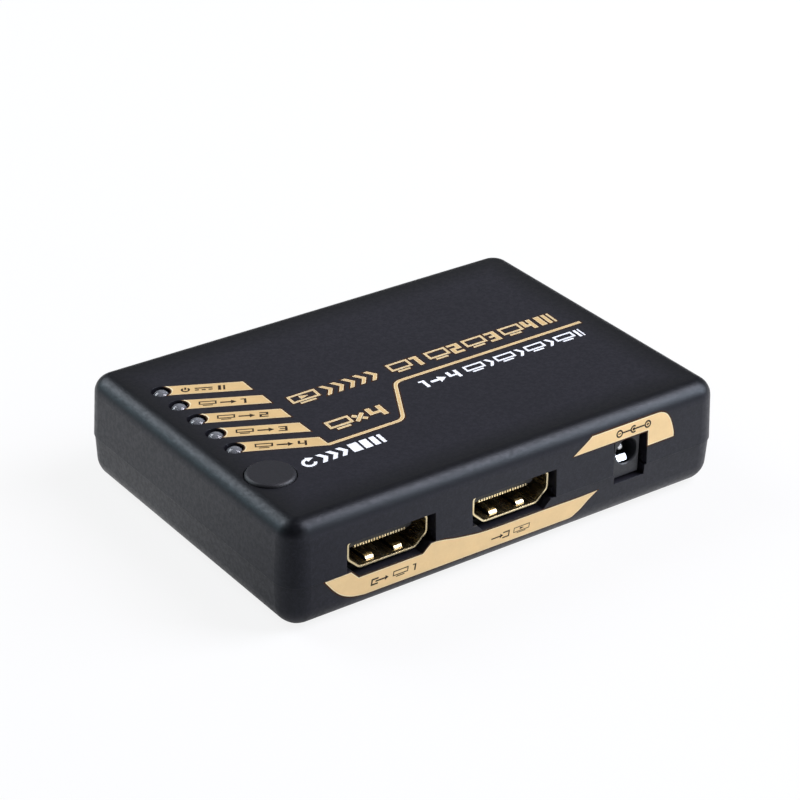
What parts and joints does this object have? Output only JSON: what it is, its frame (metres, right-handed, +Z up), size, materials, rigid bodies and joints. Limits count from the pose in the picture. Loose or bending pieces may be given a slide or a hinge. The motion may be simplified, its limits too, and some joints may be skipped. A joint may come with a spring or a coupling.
{
  "type": "video splitter",
  "caption": "Small moulded box that splits a video signal: input and output ports on two long sides, a power inlet, indicator lights and a reset button.",
  "frame": {"origin": "middle of the case's outline, on the surface that it stands on", "axes": "+X along the front to the right, +Y to the back (the input side faces -Y), +Z up"},
  "size_m": [0.0834, 0.0594, 0.0188],
  "materials": {
    "case_plastic": "dark grey moulded plastic with a fine satin grain",
    "button_plastic": "satin",
    "screw_steel": "satin",
    "board_laminate": "solder mask over glass laminate",
    "port_metal": "gold flash, polished",
    "port_plastic": "moulded",
    "contact_metal": "gold flash",
    "jack_plastic": "moulded",
    "tinned_metal": "tinned",
    "clear_epoxy": "clear",
    "switch_plastic": "moulded",
    "switch_steel": "satin",
    "chip_epoxy": "moulded",
    "can_aluminium": "drawn",
    "ferrite": "sintered",
    "ceramic": "fired",
    "resistor_film": "glazed"
  },
  "bodies": {
    "case": {"top_cover": "case_plastic", "bottom_cover": "case_plastic", "case_screws": "screw_steel", "circuit_board": "board_laminate", "output_1_port_shell": "port_metal", "output_1_port_insulator": "port_plastic", "output_1_port_contacts": "contact_metal", "input_port_shell": "port_metal", "input_port_insulator": "port_plastic", "input_port_contacts": "contact_metal", "output_2_port_shell": "port_metal", "output_2_port_insulator": "port_plastic", "output_2_port_contacts": "contact_metal", "output_3_port_shell": "port_metal", "output_3_port_insulator": "port_plastic", "output_3_port_contacts": "contact_metal", "output_4_port_shell": "port_metal", "output_4_port_insulator": "port_plastic", "output_4_port_contacts": "contact_metal", "power_jack_housing": "jack_plastic", "power_jack_pin": "tinned_metal", "power_jack_spring": "tinned_metal", "output_4_light": "clear_epoxy", "output_3_light": "clear_epoxy", "output_2_light": "clear_epoxy", "output_1_light": "clear_epoxy", "power_light": "clear_epoxy", "light_leads": "tinned_metal", "switch_base": "switch_plastic", "switch_dome": "switch_steel", "switch_cover": "switch_steel", "switch_terminals": "tinned_metal", "splitter_chip": "chip_epoxy", "splitter_chip_leads": "tinned_metal", "setup_memory": "chip_epoxy", "setup_memory_leads": "tinned_metal", "voltage_regulator": "chip_epoxy", "voltage_regulator_leads": "tinned_metal", "clock_crystal": "switch_steel", "filter_capacitor_can": "can_aluminium", "filter_capacitor_base": "chip_epoxy", "power_inductor": "ferrite", "ceramic_capacitors": "ceramic", "resistors": "resistor_film"},
    "button": {"reset_button": "button_plastic"},
    "plunger": {"switch_plunger": "switch_plastic"}
  },
  "joints": [
    {"name": "reset_press", "type": "slide", "parent": "case", "child": "button", "axis": [0, 0, -1], "range_m": [0, 0.00025], "stiffness_N_per_m": 6400},
    {"name": "plunger_press", "type": "slide", "parent": "case", "child": "plunger", "axis": [0, 0, -1], "range_m": [0, 0.00025], "deforming": ["switch_dome"]}
  ],
  "couplings": [
    {"joint": "plunger_press", "follows": "reset_press", "ratio": 1}
  ]
}
